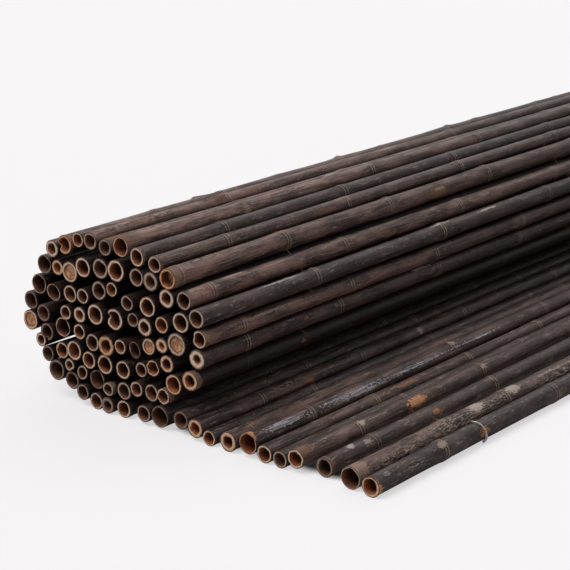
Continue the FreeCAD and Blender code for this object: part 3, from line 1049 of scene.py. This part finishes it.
# %% [markdown]
# ## The sawn ends, the bores and the knot walls
# Sawn bamboo is a pale ring between two dark ones: the skin outside and the dusty
# lining of the bore. It is fibrous, and its pores show as dark dots. Inside, the
# bore is reddish brown, and painted shade darkens it soon after the rim. Where a
# cane was cut close to a knot, its pale orange wall closes the end.

# %% Cut wood, bore and wall
def cut_wood():
    cut = Finish("cut_wood")
    place = cut.on_cane()
    fibre = cut.cloud(place, (1300, 300, 1300), 3.0, 0.65)
    patch = cut.cloud(place, (160, 5, 160), 3.0)
    across = cut.sums("SUBTRACT", cut.stored("across_wall"), 0.3)
    across = cut.sums("MULTIPLY_ADD", patch, 0.6, across)
    ring = cut.ramp(cut.stored("end_tone"), (0.0, shade(132, 110, 102)),
                    (0.28, shade(188, 166, 148)), (0.5, shade(230, 200, 174)),
                    (0.72, shade(226, 182, 142)), (1.0, shade(214, 150, 102)))
    band = cut.ramp(across, (0.05, (0.02, 0.02, 0.02, 1)), (0.36, (1, 1, 1, 1)),
                    (0.62, (0.9, 0.9, 0.9, 1)), (0.85, (0.03, 0.03, 0.03, 1)))
    dark = cut.ramp(across, (0.0, shade(98, 54, 36)), (0.5, shade(104, 72, 54)),
                    (1.0, shade(52, 38, 33)))
    colour = cut.mix(band, dark, ring)
    colour = cut.coat(colour, cut.mask(fibre, 0.5, 0.66), 0.65, shade(84, 52, 38))
    return cut.finish(colour, 0.8, fibre, 0.35 * MM)


def bore_wood():
    bore = Finish("bore_wood")
    place = bore.on_cane()
    patch = bore.cloud(place, (70, 25, 70), 3.0)
    fibre = bore.cloud(place, (700, 20, 700), 2.0)
    olive = bore.ramp(patch, (0.3, shade(60, 36, 17)), (0.7, shade(116, 73, 36)))
    red = bore.ramp(patch, (0.3, shade(106, 44, 21)), (0.7, shade(190, 108, 56)))
    colour = bore.mix(bore.mask(bore.stored("end_tone"), 0.1, 0.7), olive, red)
    colour = bore.coat(colour, bore.mask(fibre, 0.5, 0.7), 0.5, shade(48, 26, 20))
    # Painted shade that darkens the bore deeper in.
    dark = bore.sums("POWER", bore.stored("bore_depth"), 0.6)
    colour = bore.coat(colour, dark, 0.93, shade(54, 25, 10))
    return bore.finish(colour, 0.75, fibre, 0.3 * MM)


def knot_wall():
    wall = Finish("knot_wall")
    patch = wall.cloud(wall.place, (160, 160, 160), 3.0, 0.6)
    grain = wall.cloud(wall.place, (700, 700, 700), 2.0)
    colour = wall.ramp(patch, (0.3, shade(124, 76, 48)), (0.5, shade(172, 120, 84)),
                       (0.72, shade(206, 166, 130)))
    colour = wall.coat(colour, wall.mask(grain, 0.55, 0.75), 0.5, shade(96, 56, 38))
    return wall.finish(colour, 0.8, wall.sums("ADD", patch, grain), 0.4 * MM)


CANE_FINISHES = (cane_skin(), cut_wood(), bore_wood(), knot_wall())
for piece in cane_pieces:
    for finish in CANE_FINISHES:
        piece.data.materials.append(finish)
print("finishes", [finish.name for finish in CANE_FINISHES])

# %% [markdown]
# ## The wires
# Three galvanised wires run through all canes. Each bends a little in every gap,
# goes once round the free edge cane and is twisted off there. A wire could be a
# curve with a bevel. Here a small ring is pushed along the wire's own way step by
# step, as the wire was, so that its bends stay where the canes hold it.

# %% The wires' way
WIRE_RADIUS = 0.9 * MM
WIRE_SIDES = 8
LOOP_CLEAR = 0.25 * MM
# The loop: degrees round the edge cane, and millimetres off its skin and along it.
LOOP_POINTS = (
    (178, 0, 0.0), (166, 0, -3.6), (150, 0.2, -6.4), (128, 0.8, -7.8), (105, 1.3, -7.4),
    (80, 1.2, -6.0), (55, 0.8, -4.2), (30, 0.3, -2.2), (8, 0, -0.6),
)
# The twist beside the cane, in turns and in degrees round the cane.
TWIST_TURNS = 1.6
TWIST_FROM = -21
TWIST_TO = -50
TWIST_STEPS = 18
TWIST_DRIFT = 0.6 * MM
EXIT_DEGREES = -4
EXIT_ASIDE = 1.2 * MM
# The loop is left bright. Over this length the wires darken with painted shade, where they run in among
# the canes.
WIRE_SHADE_FROM = 30 * MM


def threaded_way():
    """The bends of a wire half way between each two canes, from the free edge."""
    way = []
    for a, b in zip(strip, strip[1:]):
        step = b.middle - a.middle
        gap = step.length - a.radius - b.radius
        way.append(a.middle + step.normalized() * (a.radius + gap / 2))
    return way + [strip[-1].middle]


def round_edge(degrees, away, aside):
    """A point beside the edge cane's skin, at an angle round it."""
    edge = strip[0]
    angle = math.radians(degrees)
    out = Vector((math.cos(angle), 0, math.sin(angle)))
    return Vector((edge.x, aside, edge.z)) + out * (edge.radius * SKIN + LOOP_CLEAR + away)


def twisted(phase):
    """One of the twist's two strands."""
    strand = []
    for step in range(TWIST_STEPS + 1):
        share = step / TWIST_STEPS
        turn = math.tau * (TWIST_TURNS * share + phase)
        degrees = TWIST_FROM + (TWIST_TO - TWIST_FROM) * share
        away = WIRE_RADIUS * (2 + math.cos(turn))
        strand.append(round_edge(degrees, away, WIRE_RADIUS * math.sin(turn) - TWIST_DRIFT * share))
    return strand


def edge_loop():
    """The wire's end: up from behind the edge cane, over it, down and twisted."""
    over = [round_edge(degrees, WIRE_RADIUS + slack * MM, aside * MM)
            for degrees, slack, aside in LOOP_POINTS]
    return over + twisted(0.5)


def edge_exit():
    """The wire where it leaves the edge cane's own hole, to be twisted off."""
    outside = round_edge(EXIT_DEGREES, WIRE_RADIUS, EXIT_ASIDE)
    return twisted(0.0)[::-1] + [outside, strip[0].middle]


def pushed(shape, way):
    """Pushes a small ring along a way and closes both of its ends."""
    chain = [way[0] * 2 - way[1]] + way + [way[-1] * 2 - way[-2]]
    rings = []
    for before, here, after in zip(chain, chain[1:], chain[2:]):
        along = (after - before).normalized()
        turn = along.to_track_quat("Z", "Y").to_matrix().to_4x4()
        made = bmesh.ops.create_circle(
            shape, segments=WIRE_SIDES, radius=WIRE_RADIUS, matrix=Matrix.Translation(here) @ turn,
            cap_ends=len(rings) in (0, len(way) - 1))
        rings.append(made["verts"])
    for first, second in zip(rings, rings[1:]):
        edges = [e for ring in (first, second) for v in ring for e in v.link_edges
                 if e.other_vert(v) in ring]
        bmesh.ops.bridge_loops(shape, edges=list(set(edges)))


def wire_piece(row, y):
    shape = bmesh.new()
    for way in (edge_exit() + threaded_way(), edge_loop()):
        pushed(shape, [point + Vector((0, y, 0)) for point in way])
    bmesh.ops.recalc_face_normals(shape, faces=shape.faces)
    for face in shape.faces:
        face.smooth = True
    painted_wire_shade = shape.verts.layers.float.new("painted_wire_shade")
    for vert in shape.verts:
        # Painted shade along the wire inside the strip, none on the loop.
        vert[painted_wire_shade] = min(1.0, max(0.0, (strip[0].x - vert.co.x) / WIRE_SHADE_FROM))
    piece = new_piece("galvanised_wire_" + str(row), shape)
    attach(piece, "root")
    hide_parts("wire_" + str(row))
    return piece


wire_pieces = [wire_piece(row + 1, y) for row, y in enumerate(WIRE_Y)]
print("wires", [len(piece.data.polygons) for piece in wire_pieces], "faces")

# %% [markdown]
# ## Zinc and rust
# A galvanised wire is grey and spotted, and rust breaks through here and there. One
# bright metal would flash white in the gaps between the canes. So a fine noise
# spots the zinc, a wide one lays the rust, and painted shade darkens the wire inside
# the strip.

# %% Zinc and rust
def zinc():
    metal = Finish("zinc")
    spots = metal.cloud(metal.place, (700, 700, 700), 3.0)
    spread = metal.cloud(metal.place, (70, 70, 70), 3.0)
    colour = metal.ramp(spots, (0.3, shade(176, 174, 168)), (0.7, shade(232, 230, 224)))
    colour = metal.mix(metal.mask(spread, 0.54, 0.62), colour, shade(150, 90, 56))
    # Painted shade darkens the wire inside the strip.
    colour = metal.coat(colour, metal.stored("painted_wire_shade"), 0.9, shade(64, 48, 40))
    roughness = metal.sums("MULTIPLY_ADD", spread, 0.5, 0.2)
    return metal.finish(colour, roughness, spots, 0.1 * MM, 0.5)


zinc_finish = zinc()
for piece in wire_pieces:
    piece.data.materials.append(zinc_finish)
print("wires finished in", zinc_finish.name)
